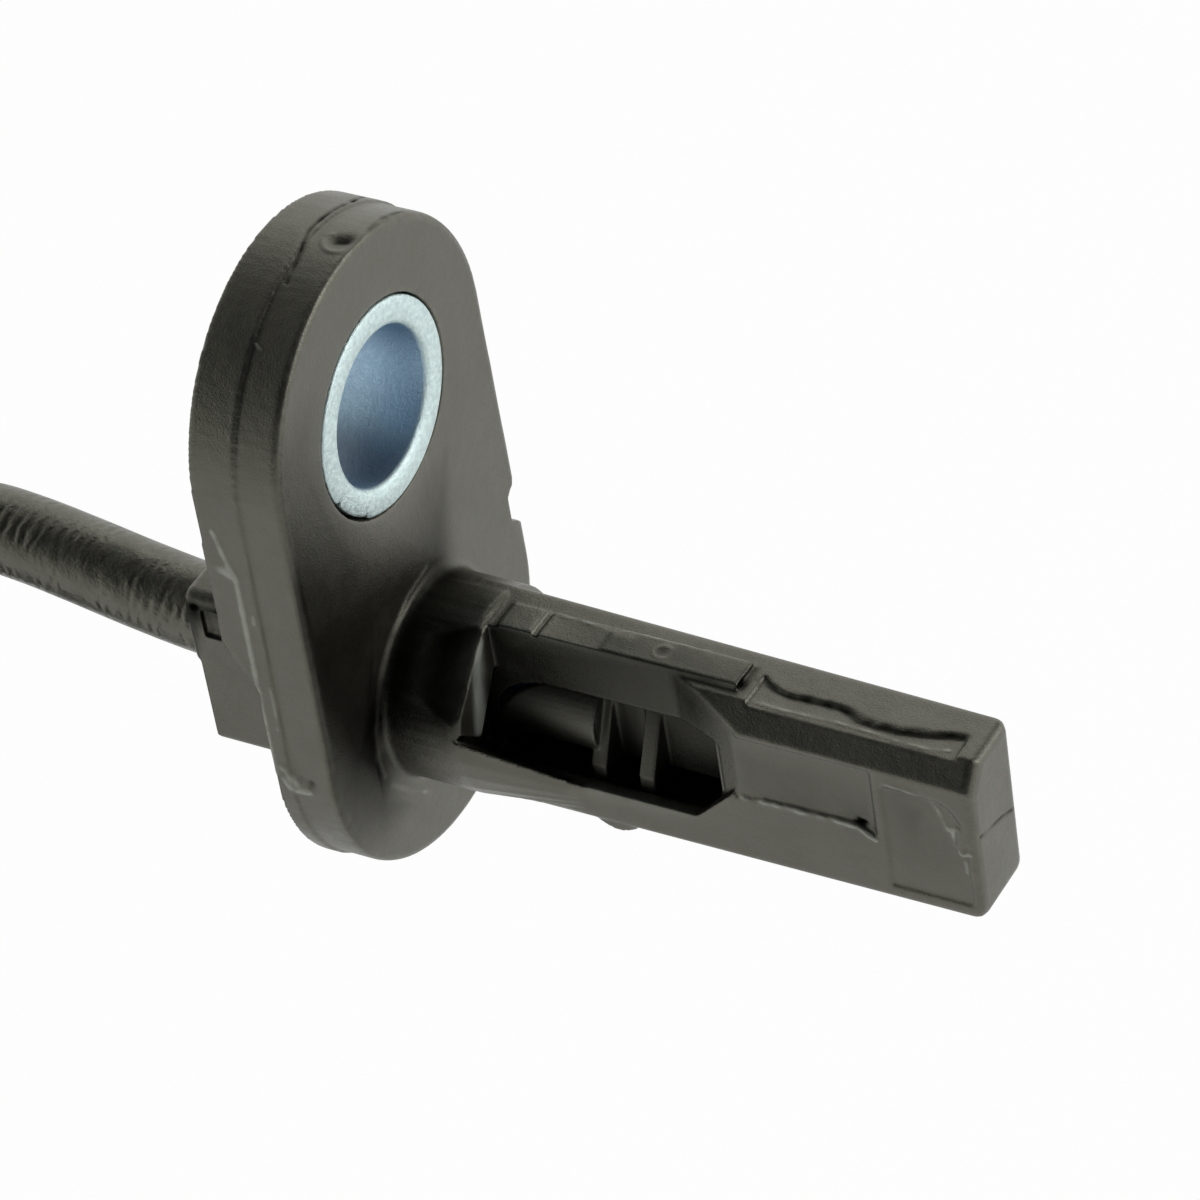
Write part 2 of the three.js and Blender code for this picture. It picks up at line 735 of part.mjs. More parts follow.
// Strip from a wire end to the chip, thinner where the capacitor's body lies over it
function leadStrip(z) {
  const shape = polygon([
    [stripStart, z - stripWidth / 2],
    [chipStart - seatGap, z - stripWidth / 2],
    [chipStart - seatGap, z + stripWidth / 2],
    [stripStart, z + stripWidth / 2],
  ]);
  const strip = alongY(shape, stripNear, stripFar);
  const overCapacitor = block(capacitorStart - seatGap, capacitorStart + capacitorLength + seatGap,
    stripNear - overrun, stripFar - stripThickness / 2, -wholeHead, wholeHead);
  return cut(strip, overCapacitor);
}

function emcCapacitor() {
  const body = chipBody(capacitorStart, capacitorStart + capacitorLength);
  const stripSeats = coreSides.map((z) => block(capacitorStart - overrun,
    capacitorStart + capacitorLength + overrun,
    stripFar - stripThickness / 2 - seatGap, stripFar + overrun,
    z - stripWidth / 2 - seatGap, z + stripWidth / 2 + seatGap));
  return cut(body, ...stripSeats);
}

function coreWire(z) {
  const curve = new THREE.CatmullRomCurve3([
    new THREE.Vector3(cableInnerEnd + fitGap, coreY, z - barrelAxisZ),
    new THREE.Vector3(cableInnerEnd + coreStraight, coreY, z - barrelAxisZ),
    new THREE.Vector3(carrierStart - coreBendStart, coreY, z - barrelAxisZ),
    new THREE.Vector3(carrierStart - coreBendEnd, coreY, z - barrelAxisZ / 2),
    new THREE.Vector3(coreEnd, coreY, z),
  ]);
  const section = circle(0, 0, coreDiameter / 2);
  return new THREE.ExtrudeGeometry(section, { steps: 14, curveSegments: 10, extrudePath: curve });
}

function strandEnd(z) {
  return rod(coreEnd + seatGap, coreEnd + seatGap + strandLength, strandDiameter / 2, coreY, z, 12);
}

// The lead: its points are a route chosen by hand, in the nose frame
const leadRoute = [
  [cableInnerEnd, 0, 0],
  [-10.5, 0.0, 0.02],
  [-14.0, 0.05, 0.12],
  [-18.0, 0.3, 0.42],
  [-22.0, 0.62, 0.8],
  [-25.5, 0.85, 1.1],
  [-28.5, 0.95, 1.15],
  [-35.2, 1.0, -0.05],
  [-41.0, 1.0, -3.4],
  [-45.4, 1.0, -8.6],
  [-47.35, 1.0, -13.3],
  [-48.0, 1.0, -18.4],
];

// The ring spans every turn, and its inside is closed to the cable that meets it from above
// and below, so both stretches stop where they clear its outer surface
const coilPitch = cableDiameter + coilTurnGap;
const coilSpan = coilTurns * coilPitch;
const coilCentre = new THREE.Vector3(coilTop.x - coilMeanRadius, coilTop.y - coilSpan / 2, coilTop.z);
const ringInner = coilMeanRadius - tubeRadius;
const ringOuter = coilMeanRadius + tubeRadius;
const clearHeight = Math.sqrt(ringOuter ** 2 - ringInner ** 2) + fitGap;

function cableTube(curve, steps) {
  const section = circle(0, 0, tubeRadius);
  return new THREE.ExtrudeGeometry(section, { steps, curveSegments: 10, extrudePath: curve });
}

function cableLead() {
  const points = leadRoute.map((p) => new THREE.Vector3(...p));
  points.push(coilTop.clone().setZ(coilTop.z + clearHeight));
  return cableTube(new THREE.CatmullRomCurve3(points, false, 'centripetal'), 15);
}

function cableCoil() {
  const half = coilSpan / 2 + tubeRadius;
  const section = roundedRect(ringInner, ringOuter, -half, half, tubeRadius - weld);
  const ring = new THREE.LatheGeometry(section.getPoints(2), 36);
  return ring.translate(coilCentre.x, coilCentre.y, coilCentre.z);
}

const tailTop = new THREE.Vector3(coilTop.x, coilTop.y - coilSpan, coilTop.z - clearHeight);
const tailEnd = tailTop.clone().setZ(tailTop.z - connectorDrop);

function cableTail() {
  return cableTube(new THREE.LineCurve3(tailTop, tailEnd), 4);
}

// Band round all turns, built about the ring's section and swung to its place
function coilTie() {
  const innerX = tubeRadius + fitGap;
  const innerY = coilSpan / 2 + tubeRadius + fitGap;
  const outerX = innerX + coilTieThickness;
  const outerY = innerY + coilTieThickness;
  const band = roundedRect(-outerX, outerX, -outerY, outerY, tubeRadius + coilTieThickness);
  band.holes.push(roundedRect(-innerX, innerX, -innerY, innerY, tubeRadius));
  const strap = alongZ(band, -coilTieWidth / 2, coilTieWidth / 2, 0, 5);
  const head = block(outerX - coilTieThickness / 2, outerX + coilTieHeadHeight,
    -coilTieHeadWidth / 2, coilTieHeadWidth / 2, -coilTieWidth / 2, coilTieWidth / 2);
  return join(strap, head);
}

// Connector, built along +X with its mouth forward and its cable at the back
const hoodStart = neckLength;
const sealStart = capLength + fitGap;
const wireStop = sealStart + sealLength;
const socketFloor = connectorLength - socketDepth;

function oval(width, height) {
  return roundedRect(-width / 2, width / 2, -height / 2, height / 2, height * hoodRounding);
}

function connectorShell() {
  const hood = alongX(oval(hoodWidth, hoodHeight), hoodStart, connectorLength, hoodEdge, 8);
  const neck = solid(turned([
    [capLength, 0], [capLength, neckRadius], [hoodStart, neckRadius + neckDraft],
    [hoodStart + overrun, 0],
  ], 40));
  const catchEnd = connectorLength - catchSetback;
  const ramp = alongY(polygon([
    [catchEnd - catchLength, hoodHeight / 2 - catchRoot],
    [catchEnd, hoodHeight / 2 - catchRoot],
    [catchEnd, hoodHeight / 2],
    [catchEnd - catchLength, hoodHeight / 2 + catchHeight],
  ]), -catchWidth / 2, catchWidth / 2);
  const socket = alongX(oval(hoodWidth - 2 * hoodWall, hoodHeight - 2 * hoodWall),
    socketFloor, connectorLength + overrun, 0, 8);
  const sealRoom = solid(rod(capLength - overrun, wireStop + fitGap, sealRadius, 0, 0, 32));
  const terminalRooms = terminalSides().map((y) => block(wireStop, socketFloor + overrun,
    y - terminalWidth / 2 - seatGap, y + terminalWidth / 2 + seatGap,
    -terminalThickness / 2 - seatGap, terminalThickness / 2 + seatGap));
  const coreRooms = terminalSides().map((y) => solid(rod(wireStop, hoodStart + terminalRoot,
    coreDiameter / 2 + fitGap, y, 0, 16)));
  const lockRoom = block(hoodStart + lockAt - seatGap, hoodStart + lockAt + lockThickness + seatGap,
    -lockWidth / 2 - seatGap, lockWidth / 2 + seatGap,
    -hoodHeight, -terminalThickness / 2 - lockClear);
  return cut(join(hood, neck, ramp), socket, sealRoom, lockRoom, ...terminalRooms, ...coreRooms);
}

function terminalSides() {
  return [-terminalPitch / 2, terminalPitch / 2];
}

const terminalStart = hoodStart + terminalRoot + seatGap;

function terminal(y) {
  const tip = connectorLength - socketDepth + terminalReach;
  const half = terminalWidth / 2;
  const shape = polygon([
    [terminalStart, y - half], [tip - terminalPoint, y - half], [tip, y - half / 2],
    [tip, y + half / 2], [tip - terminalPoint, y + half], [terminalStart, y + half],
  ]);
  return alongZ(shape, -terminalThickness / 2, terminalThickness / 2);
}

function connectorWire(y) {
  return rod(wireStop + fitGap, terminalStart - seatGap, coreDiameter / 2, y, 0, 16);
}

function cableSeal() {
  const inner = tubeRadius + fitGap;
  const outer = sealRadius - seatGap;
  const root = outer - sealRibHeight;
  const pitch = sealLength / sealRibs;
  const profile = [[sealStart, inner], [sealStart, root]];
  for (let i = 0; i < sealRibs; i += 1) {
    const x = sealStart + i * pitch;
    profile.push([x + pitch / 3, outer], [x + 2 * pitch / 3, outer], [x + pitch, root]);
  }
  profile.push([sealStart + sealLength, inner], [sealStart, inner]);
  return turned(profile, 32);
}

function connectorCap() {
  const inner = tubeRadius + fitGap;
  const skirt = neckRadius + capLip;
  return turned([
    [0, inner], [0, skirt - capEdge], [capEdge, skirt], [capLength - seatGap, skirt],
    [capLength - seatGap, inner], [0, inner],
  ], 40);
}

function connectorLock() {
  const deep = hoodHeight / 2 + lockProud;
  const top = terminalThickness / 2 + lockClear + seatGap;
  const shape = roundedRect(-lockWidth / 2, lockWidth / 2, -deep, -top, edgeRound);
  return alongX(shape, hoodStart + lockAt, hoodStart + lockAt + lockThickness, 0, 3);
}

// Scene graph
function piece(name, geometryOrSolid, material) {
  const geometry = geometryOrSolid.isBufferGeometry ? geometryOrSolid : geometryOf(geometryOrSolid);
  const mesh = new THREE.Mesh(geometry, new THREE.MeshStandardMaterial(materials[material]));
  mesh.name = name;
  return mesh;
}

const head = new THREE.Group();
head.add(
  piece('sensor_housing', sensorHousing(), 'housing'),
  piece('bolt_bush', boltBush(), 'steel'),
  piece('sensor_carrier', sensorCarrier(), 'carrier'),
  piece('hall_chip', chipBody(chipStart, chipEnd), 'chip'),
  piece('emc_capacitor', emcCapacitor(), 'chip'),
);
['a', 'b'].forEach((side, i) => {
  const z = coreSides[i];
  head.add(
    piece(`lead_strip_${side}`, leadStrip(z), 'tinned'),
    piece(`core_wire_${side}`, coreWire(z), i ? 'coreLight' : 'coreDark'),
    piece(`wire_end_${side}`, strandEnd(z), 'copper'),
  );
});
head.add(
  piece('cable_lead', cableLead(), 'jacket'),
  piece('cable_coil', cableCoil(), 'jacket'),
  piece('cable_tail', cableTail(), 'jacket'),
);

const tie = piece('coil_tie', coilTie(), 'connector');
tie.position.x = coilMeanRadius;
const tieArm = new THREE.Group();
tieArm.add(tie);
tieArm.position.copy(coilCentre);
tieArm.rotation.y = coilTieAngle;
head.add(tieArm);

const connector = new THREE.Group();
connector.add(
  piece('connector_shell', connectorShell(), 'connector'),
  piece('connector_cap', connectorCap(), 'connector'),
  piece('connector_lock', connectorLock(), 'lock'),
  piece('cable_seal', cableSeal(), 'seal'),
);
['a', 'b'].forEach((side, i) => {
  const y = terminalSides()[i];
  connector.add(
    piece(`terminal_${side}`, terminal(y), 'tinned'),
    piece(`connector_wire_${side}`, connectorWire(y), i ? 'coreLight' : 'coreDark'),
  );
});
connector.position.copy(tailEnd).setZ(tailEnd.z + wireStop);
connector.rotation.y = Math.PI / 2;
head.add(connector);

// The part's own frame stands midway between the nose axis and the bolt axis
head.position.z = -boltOffset / 2;
const sensor = new THREE.Group();
sensor.add(head);

export default sensor;
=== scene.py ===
# Wheel speed sensor in a plain studio. Metres, in the part's own frame; lengths named with
# "mm" in their note are millimetres in the nose frame, whose origin is on the nose axis.
import bpy
import bmesh
import json
import math
import numpy as np
from mathutils import Matrix, Vector, noise


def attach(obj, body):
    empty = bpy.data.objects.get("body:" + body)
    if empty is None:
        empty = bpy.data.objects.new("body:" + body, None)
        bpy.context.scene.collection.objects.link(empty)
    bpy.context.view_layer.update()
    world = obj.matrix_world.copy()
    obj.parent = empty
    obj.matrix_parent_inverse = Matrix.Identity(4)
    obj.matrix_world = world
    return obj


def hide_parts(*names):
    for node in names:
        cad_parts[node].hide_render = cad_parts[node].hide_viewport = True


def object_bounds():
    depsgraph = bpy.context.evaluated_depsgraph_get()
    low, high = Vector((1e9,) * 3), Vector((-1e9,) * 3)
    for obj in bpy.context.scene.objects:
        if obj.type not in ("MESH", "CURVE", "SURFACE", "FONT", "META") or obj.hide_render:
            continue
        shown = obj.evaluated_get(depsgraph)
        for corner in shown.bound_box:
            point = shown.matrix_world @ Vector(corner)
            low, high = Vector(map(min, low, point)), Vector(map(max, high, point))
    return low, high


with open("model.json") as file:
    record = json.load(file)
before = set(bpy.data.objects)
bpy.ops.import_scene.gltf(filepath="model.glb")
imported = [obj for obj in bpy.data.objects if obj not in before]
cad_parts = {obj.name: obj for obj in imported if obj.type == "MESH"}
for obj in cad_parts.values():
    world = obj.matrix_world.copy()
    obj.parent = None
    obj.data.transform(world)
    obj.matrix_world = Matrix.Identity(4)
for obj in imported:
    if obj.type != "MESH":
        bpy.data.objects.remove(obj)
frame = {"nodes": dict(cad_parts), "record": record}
nodes = frame["nodes"]
cadLow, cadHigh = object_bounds()
scene = bpy.context.scene

millimetre = 0.001
noseAxisZ = -8.7


def place(x, y, z):
    # Nose-frame millimetres to metres in the part's frame
    return Vector((x, y, z + noseAxisZ)) * millimetre


def addObject(name, mesh):
    piece = bpy.data.objects.new(name, mesh)
    scene.collection.objects.link(piece)
    return piece


def ridingPiece(name, mesh, material):
    piece = addObject(name, mesh)
    mesh.materials.clear()
    mesh.materials.append(material)
    mesh.shade_smooth()
    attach(piece, "root")
    return piece


# Camera, fitted to the photo
cameraSettings = {
    "place": (0.136939, -0.183036, 0.181359),
    "right": (0.87195, 0.47258, -0.12794),
    "up": (-0.21810, 0.60890, 0.76267),
    "back": (0.43832, -0.63711, 0.63400),
    "lens": 171.87,
    "sensor": 36.0,
}


def makeCamera(settings):
    data = bpy.data.cameras.new("camera")
    data.lens = settings["lens"]
    data.sensor_width = settings["sensor"]
    data.clip_start = 0.01
    data.clip_end = 20
    camera = addObject("camera", data)
    turn = Matrix((settings["right"], settings["up"], settings["back"])).transposed().to_4x4()
    camera.matrix_world = Matrix.Translation(settings["place"]) @ turn
    scene.camera = camera


makeCamera(cameraSettings)
print("stage: camera")


# Shader maths: one output socket, with arithmetic that adds the nodes it needs
class Wire:
    def __init__(self, tree, socket=None):
        self.tree = tree
        self.socket = socket

    def node(self, kind, settings=None, sockets=None, output=0):
        made = self.tree.nodes.new(kind)
        for name, value in (settings or {}).items():
            setattr(made, name, value)
        for key, value in (sockets or {}).items():
            if isinstance(value, Wire):
                self.tree.links.new(value.socket, made.inputs[key])
            else:
                made.inputs[key].default_value = value
        return Wire(self.tree, made.outputs[output])

    def isVector(self):
        return self.socket.type in ("VECTOR", "RGBA")

    def maths(self, operation, *values):
        vectors = any(isinstance(v, tuple) or isinstance(v, Wire) and v.isVector() for v in values)
        if not vectors:
            return self.node("ShaderNodeMath", {"operation": operation}, dict(enumerate(values)))
        triples = [(v, v, v) if isinstance(v, (int, float)) else v for v in values]
        return self.node("ShaderNodeVectorMath", {"operation": operation}, dict(enumerate(triples)))

    def __add__(self, other):
        return self.maths("ADD", self, other)

    def __radd__(self, other):
        return self.maths("ADD", other, self)

    def __sub__(self, other):
        return self.maths("SUBTRACT", self, other)

    def __rsub__(self, other):
        return self.maths("SUBTRACT", other, self)

    def __mul__(self, other):
        return self.maths("MULTIPLY", self, other)

    def __rmul__(self, other):
        return self.maths("MULTIPLY", other, self)

    def mixed(self, other, factor):
        return self.node("ShaderNodeMix", {"data_type": "RGBA"}, {0: factor, 6: self, 7: other}, 2)

    def attribute(self, name):
        return self.node("ShaderNodeAttribute", {"attribute_name": name}, None, 2)

    def part(self, axis):
        return self.node("ShaderNodeSeparateXYZ", None, {0: self}, "XYZ".index(axis))

    def ramp(self, low, high, start=0.0, end=1.0):
        sockets = {"Value": self, "From Min": low, "From Max": high, "To Min": start, "To Max": end}
        return self.node("ShaderNodeMapRange", {"interpolation_type": "SMOOTHSTEP"}, sockets)

    def noise(self, scale, detail=3.0, roughness=0.5, distortion=0.0):
        sockets = {"Vector": self, "Scale": scale, "Detail": detail,
                   "Roughness": roughness, "Distortion": distortion}
        return self.node("ShaderNodeTexNoise", None, sockets)


# Painted shade: a near-black diffuse without sheen, which the dark marks mix in
paintedShade = {"colour": (0.004, 0.0038, 0.003, 1.0)}


def makeMaterial(name, build, constants):
    # build(space, start) gives {socket: wire} for what varies, and may give "dull", the share
    # of the painted shade; constants are set on the shader
    material = bpy.data.materials.new(name)
    material.use_nodes = True
    tree = material.node_tree
    shader = tree.nodes["Principled BSDF"]
    for key, value in constants.items():
        shader.inputs[key].default_value = value
    start = Wire(tree)
    space = start.node("ShaderNodeTexCoord", None, None, 3) * 1000.0
    layers = build(space, start)
    dull = layers.pop("dull", None)
    for key, wire in layers.items():
        tree.links.new(wire.socket, shader.inputs[key])
    # The dull share mixes in the painted shade
    if dull is not None:
        flat = start.node("ShaderNodeBsdfDiffuse", None, {"Color": paintedShade["colour"]})
        result = start.node("ShaderNodeMixShader", None, {0: dull, 1: Wire(tree, shader.outputs[0]), 2: flat})
        tree.links.new(result.socket, tree.nodes["Material Output"].inputs["Surface"])
    return material


def bumpFrom(start, height, distance, strength=1.0):
    sockets = {"Height": height, "Distance": distance * millimetre, "Strength": strength}
    return start.node("ShaderNodeBump", None, sockets)


def colour(start, triple):
    return start.node("ShaderNodeCombineXYZ", None, dict(enumerate(triple)))


# Share of the pale colour: pale flash and painted highlight
def flashAndHighlightShare(markAndPaintedLight):
    return markAndPaintedLight.ramp(0.05, 0.8)


# Share of the painted shade
def paintedShadeShare(markAndPaintedLight):
    return markAndPaintedLight.maths("MAXIMUM", 0.0 - markAndPaintedLight, 0.0)


# Satin sheen of the plastics and the jacket
sheen = {"IOR": 1.58, "Specular IOR Level": 1.0, "Specular Tint": (1.0, 0.99, 0.82, 1.0)}

# Glass-filled nylon: warm dark grey, cloudy, with a fine grain and paler edges that are partly wear and
# partly painted highlight; its marks add pale flash with painted highlight, and painted shade.
# Scales are per mm, and relief is the height of the bump in mm
nylon = {
    "base": (0.0175, 0.0162, 0.0128),
    "cloud": (0.0260, 0.0242, 0.0192),
    "edge": (0.09, 0.088, 0.074),
    "flashAndHighlight": (0.42, 0.44, 0.39),
    "grain": 9.0,
    "cloudScale": 0.35,
    "wearAndHighlight": 0.55,
    "roughness": 0.34,
    "relief": 0.022,
}


def nylonLayers(space, start):
    clouds = space.noise(nylon["cloudScale"], 4.0, 0.6).ramp(0.35, 0.7)
    speckle = space.noise(nylon["grain"], 2.0, 0.7).ramp(0.4, 0.75)
    # Paler edges: partly wear, partly painted highlight
    wornAndHighlit = start.attribute("edge") * space.noise(1.6, 4.0, 0.6).ramp(0.3, 0.65)
    markAndPaintedLight = start.attribute("markAndPaintedLight")
    base = colour(start, nylon["base"]).mixed(colour(start, nylon["cloud"]), clouds)
    base = base.mixed(colour(start, nylon["edge"]), wornAndHighlit * nylon["wearAndHighlight"])
    base = base * (speckle * 0.16 + 0.92)
    # Pale flash and painted highlight where the marks are pale
    base = base.mixed(colour(start, nylon["flashAndHighlight"]), flashAndHighlightShare(markAndPaintedLight))
    grain = space.noise(nylon["grain"], 3.0, 0.6) + space.noise(1.3, 3.0, 0.5) * 1.2
    return {
        "Base Color": base,
        "Roughness": clouds * 0.08 + speckle * 0.08 + nylon["roughness"],
        "Normal": bumpFrom(start, grain, nylon["relief"]),
        # Painted shade where the marks are dark
        "dull": paintedShadeShare(markAndPaintedLight),
    }


nylonMaterial = makeMaterial("housing nylon", nylonLayers, sheen)


# Carrier: the plain dark plastic inside the pocket
carrierPlastic = {
    "base": (0.02, 0.019, 0.016),
    "roughness": 0.45,
    "relief": 0.015,
}


def carrierLayers(space, start):
    clouds = space.noise(0.8, 3.0, 0.6)
    markAndPaintedLight = start.attribute("markAndPaintedLight")
    base = colour(start, carrierPlastic["base"]) * (clouds * 0.5 + 0.75)
    return {
        # Painted highlight where the marks are pale
        "Base Color": base.mixed(colour(start, nylon["flashAndHighlight"]), flashAndHighlightShare(markAndPaintedLight)),
        "Roughness": clouds * 0.1 + carrierPlastic["roughness"],
        "Normal": bumpFrom(start, space.noise(8.0), carrierPlastic["relief"]),
        # Painted shade where the marks are dark
        "dull": paintedShadeShare(markAndPaintedLight),
    }


carrierMaterial = makeMaterial("carrier plastic", carrierLayers, sheen)


# Zinc plate: pale, finely mottled; bluer and darker in the bore as a painted reflection, with painted shade
# low in it (heights in the part, mm)
zinc = {
    "pale": (0.74, 0.88, 0.86),
    "dull": (0.52, 0.64, 0.65),
    "bore": (0.36, 0.52, 0.66),
    "deep": (0.08, 0.10, 0.14),
    "deepFrom": 5.7,
    "deepFull": 4.0,
    "roughness": 0.28,
    "relief": 0.03,
}


def zincLayers(space, start):
    mottle = space.noise(3.2, 5.0, 0.7).ramp(0.3, 0.72)
    fine = space.noise(14.0, 3.0, 0.6)
    face = colour(start, zinc["dull"]).mixed(colour(start, zinc["pale"]), mottle)
    # Painted shade growing low in the bore, over the bore's painted reflection colour
    low = space.part("Z").ramp(zinc["deepFrom"], zinc["deepFull"])
    bore = colour(start, zinc["bore"]).mixed(colour(start, zinc["deep"]), low)
    return {
        "Base Color": face.mixed(bore, start.attribute("inside")),
        "Roughness": mottle * 0.14 + fine * 0.12 + zinc["roughness"],
        "Normal": bumpFrom(start, fine + mottle * 0.6, zinc["relief"]),
    }


zincMaterial = makeMaterial("zinc plate", zincLayers, {"Metallic": 1.0})


# Jacket: satin polyurethane with slanted wrinkles from the twisted cores, and painted shade and highlight
# along the wrinkles
jacket = {
    "dark": (0.018, 0.0165, 0.013),
    "dusty": (0.034, 0.032, 0.025),
    "wrinkleRate": 9.5,
    "wrinkleSlant": 2.0,
    "wrinkleWander": 7.0,
    "roughness": 0.3,
    "relief": 0.045,
}


def jacketLayers(space, start):
    clouds = space.noise(0.5, 4.0, 0.6).ramp(0.35, 0.7)
    wander = space.noise(0.7, 3.0, 0.6) * jacket["wrinkleWander"]
    along = start.attribute("along") * jacket["wrinkleRate"]
    phase = along + start.attribute("around") * jacket["wrinkleSlant"] + wander
    patches = space.noise(0.45, 2.0, 0.5).ramp(0.42, 0.62)
    wrinkles = phase.maths("SINE", phase) * patches
    base = colour(start, jacket["dark"]).mixed(colour(start, jacket["dusty"]), clouds)
    speckle = space.noise(10.0, 3.0, 0.7).ramp(0.5, 0.8)
    height = wrinkles * 0.5 + space.noise(7.0, 3.0, 0.6) * 0.5 + space.noise(1.2, 2.0) * 1.6
    return {
        # Painted shade and highlight: the colour darkens and lightens with the wrinkles
        "Base Color": base * (wrinkles * 0.25 + 1.0) + speckle * 0.01,
        "Roughness": clouds * 0.12 + jacket["roughness"],
        "Normal": bumpFrom(start, height, jacket["relief"]),
    }


jacketMaterial = makeMaterial("cable jacket", jacketLayers, sheen)


def plainLayers(tone, roughness, grainScale, grainHeight):
    def layers(space, start):
        clouds = space.noise(0.6, 4.0, 0.6)
        return {
            "Base Color": colour(start, tone) * (clouds * 0.4 + 0.8),
            "Roughness": clouds * 0.15 + roughness,
            "Normal": bumpFrom(start, space.noise(grainScale, 3.0, 0.6), grainHeight),
        }
    return layers


# Each small slot: name, tone, roughness, scale and height of the grain, and metallic or not
smallFinishes = {
    "chip_epoxy": ("chip epoxy", (0.02, 0.02, 0.021), 0.45, 12.0, 0.01, 0.0),
    "tinned_copper": ("tinned copper", (0.7, 0.69, 0.66), 0.25, 9.0, 0.01, 1.0),
    "bare_copper": ("bare copper", (0.75, 0.36, 0.22), 0.3, 9.0, 0.02, 1.0),
    "core_dark": ("dark core", (0.03, 0.045, 0.13), 0.4, 6.0, 0.01, 0.0),
    "core_light": ("light core", (0.6, 0.58, 0.52), 0.4, 6.0, 0.01, 0.0),
    "connector_plastic": ("connector plastic", (0.032, 0.033, 0.035), 0.38, 7.0, 0.02, 0.0),
    "lock_plastic": ("lock plastic", (0.45, 0.43, 0.37), 0.4, 7.0, 0.015, 0.0),
    "seal_rubber": ("seal rubber", (0.26, 0.08, 0.04), 0.5, 7.0, 0.015, 0.0),
}
smallMaterials = {}
for slot, (name, tone, roughness, grainScale, grainHeight, metallic) in smallFinishes.items():
    layers = plainLayers(tone, roughness, grainScale, grainHeight)
    smallMaterials[slot] = makeMaterial(name, layers, {"Metallic": metallic})
print("stage: materials")


# Carried-over nodes take the finish of their slot
for entry in frame["record"]["subparts"]:
    finish = smallMaterials.get(entry["material_slot"])
    if finish:
        node = nodes[entry["node"]]
        node.data.materials.clear()
        node.data.materials.append(finish)


def arc(centre, radius, start, end, steps=14):
    # Part of a circle round a point, in the plane across Z (nose-frame mm, degrees)
    x, y, z = centre
    turns = [math.radians(start + (end - start) * i / steps) for i in range(steps + 1)]
    return [(x + radius * math.cos(t), y + radius * math.sin(t), z) for t in turns]


# What a mark has where it doesn't say: no height, and this unevenness along its line
plainMark = {"height": 0.0, "ripple": 1.6, "broken": 0.9}
